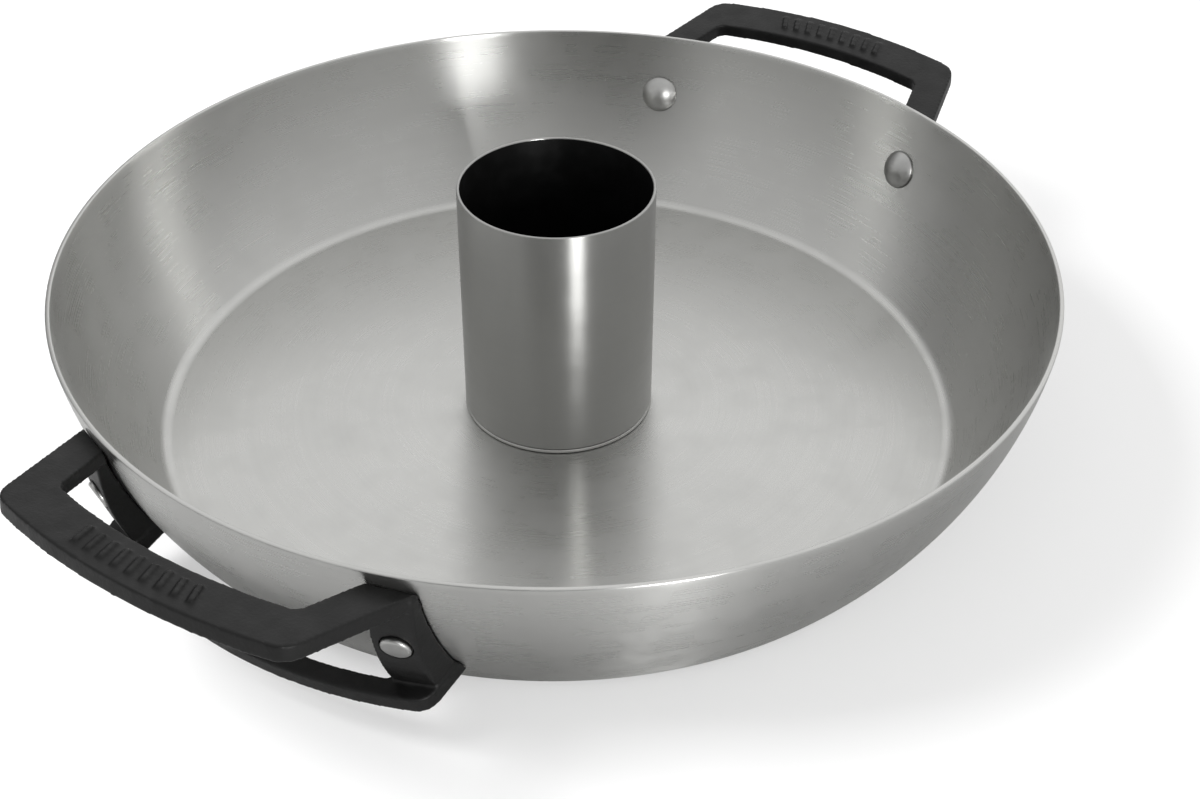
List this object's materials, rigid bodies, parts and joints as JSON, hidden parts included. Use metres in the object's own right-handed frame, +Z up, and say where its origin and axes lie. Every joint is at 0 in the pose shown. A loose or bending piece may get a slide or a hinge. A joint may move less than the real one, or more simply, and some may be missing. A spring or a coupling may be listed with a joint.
{
  "type": "poultry roasting pan",
  "caption": "Round sheet-steel roasting pan with black cast loop handles riveted to its wall and an open cup that lifts off a low seat in the middle.",
  "frame": {"origin": "middle of the flat underside, on the pan's axis", "axes": "+X from the pan's axis to the right handle, +Y to the rear, +Z up along the pan's axis"},
  "size_m": [0.3874, 0.32, 0.0843],
  "materials": {
    "brushed_steel": "brushed round the axis, bright",
    "cup_steel": "brushed, bright",
    "rivet_steel": "satin",
    "black_casting": "satin black, finely pitted"
  },
  "bodies": {
    "pan": {"pan_bowl": "brushed_steel", "handle_left": "black_casting", "handle_right": "black_casting", "rivet_left_front": "rivet_steel", "rivet_left_rear": "rivet_steel", "rivet_right_front": "rivet_steel", "rivet_right_rear": "rivet_steel", "cup_seat": "brushed_steel"},
    "cup": {"cup_tube": "cup_steel", "cup_base": "cup_steel"}
  },
  "joints": [
    {"name": "cup_lift", "type": "slide", "parent": "pan", "child": "cup", "axis": [0, 0, 1], "range_m": [0, 0.1]}
  ]
}
